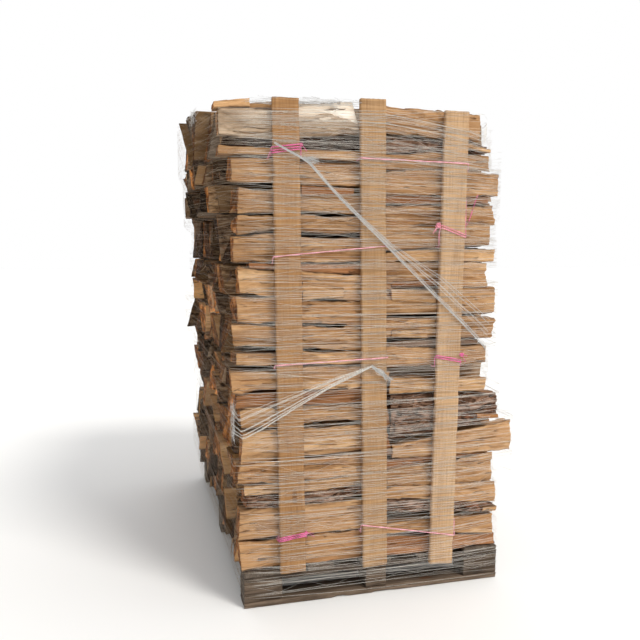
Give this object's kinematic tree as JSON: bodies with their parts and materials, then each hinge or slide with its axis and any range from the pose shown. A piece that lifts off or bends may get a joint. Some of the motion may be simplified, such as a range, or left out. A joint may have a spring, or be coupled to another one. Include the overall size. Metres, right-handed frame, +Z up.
{
  "type": "pallet load of split firewood",
  "caption": "Split firewood billets laid in courses on a runner pallet, held by upright slats, baler twine ties and a net wrap.",
  "frame": {"origin": "centre of the underside of the pallet's middle runner, on the floor", "axes": "+Z up; +X along the billets, from the left column to the right column as seen from the front; -Y is the front face with the slats; the billets' sawn ends face -X and +X"},
  "size_m": [1.209, 1.5586, 1.8087],
  "materials": {
    "split_wood": "rough split face, fibrous",
    "bark": "furrowed bark",
    "pallet_wood": "weathered rough sawn",
    "slat_wood": "rough sawn",
    "twine": "twisted baler twine, slightly glossy",
    "net": "knitted bale net"
  },
  "bodies": {
    "root": {"firewood_left_01": "split_wood", "firewood_left_02": "split_wood", "firewood_left_03": "bark", "firewood_left_04": "split_wood", "firewood_left_05": "split_wood", "firewood_left_06": "split_wood", "firewood_left_07": "split_wood", "firewood_left_08": "split_wood", "firewood_left_09": "split_wood", "firewood_left_10": "split_wood", "firewood_left_11": "split_wood", "firewood_left_12": "split_wood", "firewood_right_01": "split_wood", "firewood_right_02": "split_wood", "firewood_right_03": "split_wood", "firewood_right_04": "split_wood", "firewood_right_05": "bark", "firewood_right_06": "split_wood", "firewood_right_07": "split_wood", "firewood_right_08": "split_wood", "firewood_right_09": "split_wood", "firewood_right_10": "split_wood", "firewood_right_11": "split_wood", "firewood_right_12": "split_wood", "firewood_right_13": "split_wood", "pallet_runner_front": "pallet_wood", "pallet_runner_middle": "pallet_wood", "pallet_runner_rear": "pallet_wood", "pallet_block_front_left": "pallet_wood", "pallet_block_front_centre": "pallet_wood", "pallet_block_front_right": "pallet_wood", "pallet_block_middle_left": "pallet_wood", "pallet_block_middle_centre": "pallet_wood", "pallet_block_middle_right": "pallet_wood", "pallet_block_rear_left": "pallet_wood", "pallet_block_rear_centre": "pallet_wood", "pallet_block_rear_right": "pallet_wood", "pallet_bearer_front": "pallet_wood", "pallet_bearer_middle": "pallet_wood", "pallet_bearer_rear": "pallet_wood", "pallet_deck_board_1": "pallet_wood", "pallet_deck_board_2": "pallet_wood", "pallet_deck_board_3": "pallet_wood", "pallet_deck_board_4": "pallet_wood", "pallet_deck_board_5": "pallet_wood", "slat_front_left": "slat_wood", "slat_front_middle": "slat_wood", "slat_front_right": "slat_wood", "slat_rear_left": "slat_wood", "slat_rear_middle": "slat_wood", "slat_rear_right": "slat_wood", "twine_tie_top_left": "twine", "twine_tie_top_right": "twine", "twine_tie_upper_left": "twine", "twine_tie_upper_right": "twine", "twine_tie_middle_left": "twine", "twine_tie_middle_right": "twine", "twine_tie_bottom_left": "twine", "twine_tie_bottom_right": "twine", "net_wrap": "net"}
  },
  "joints": []
}
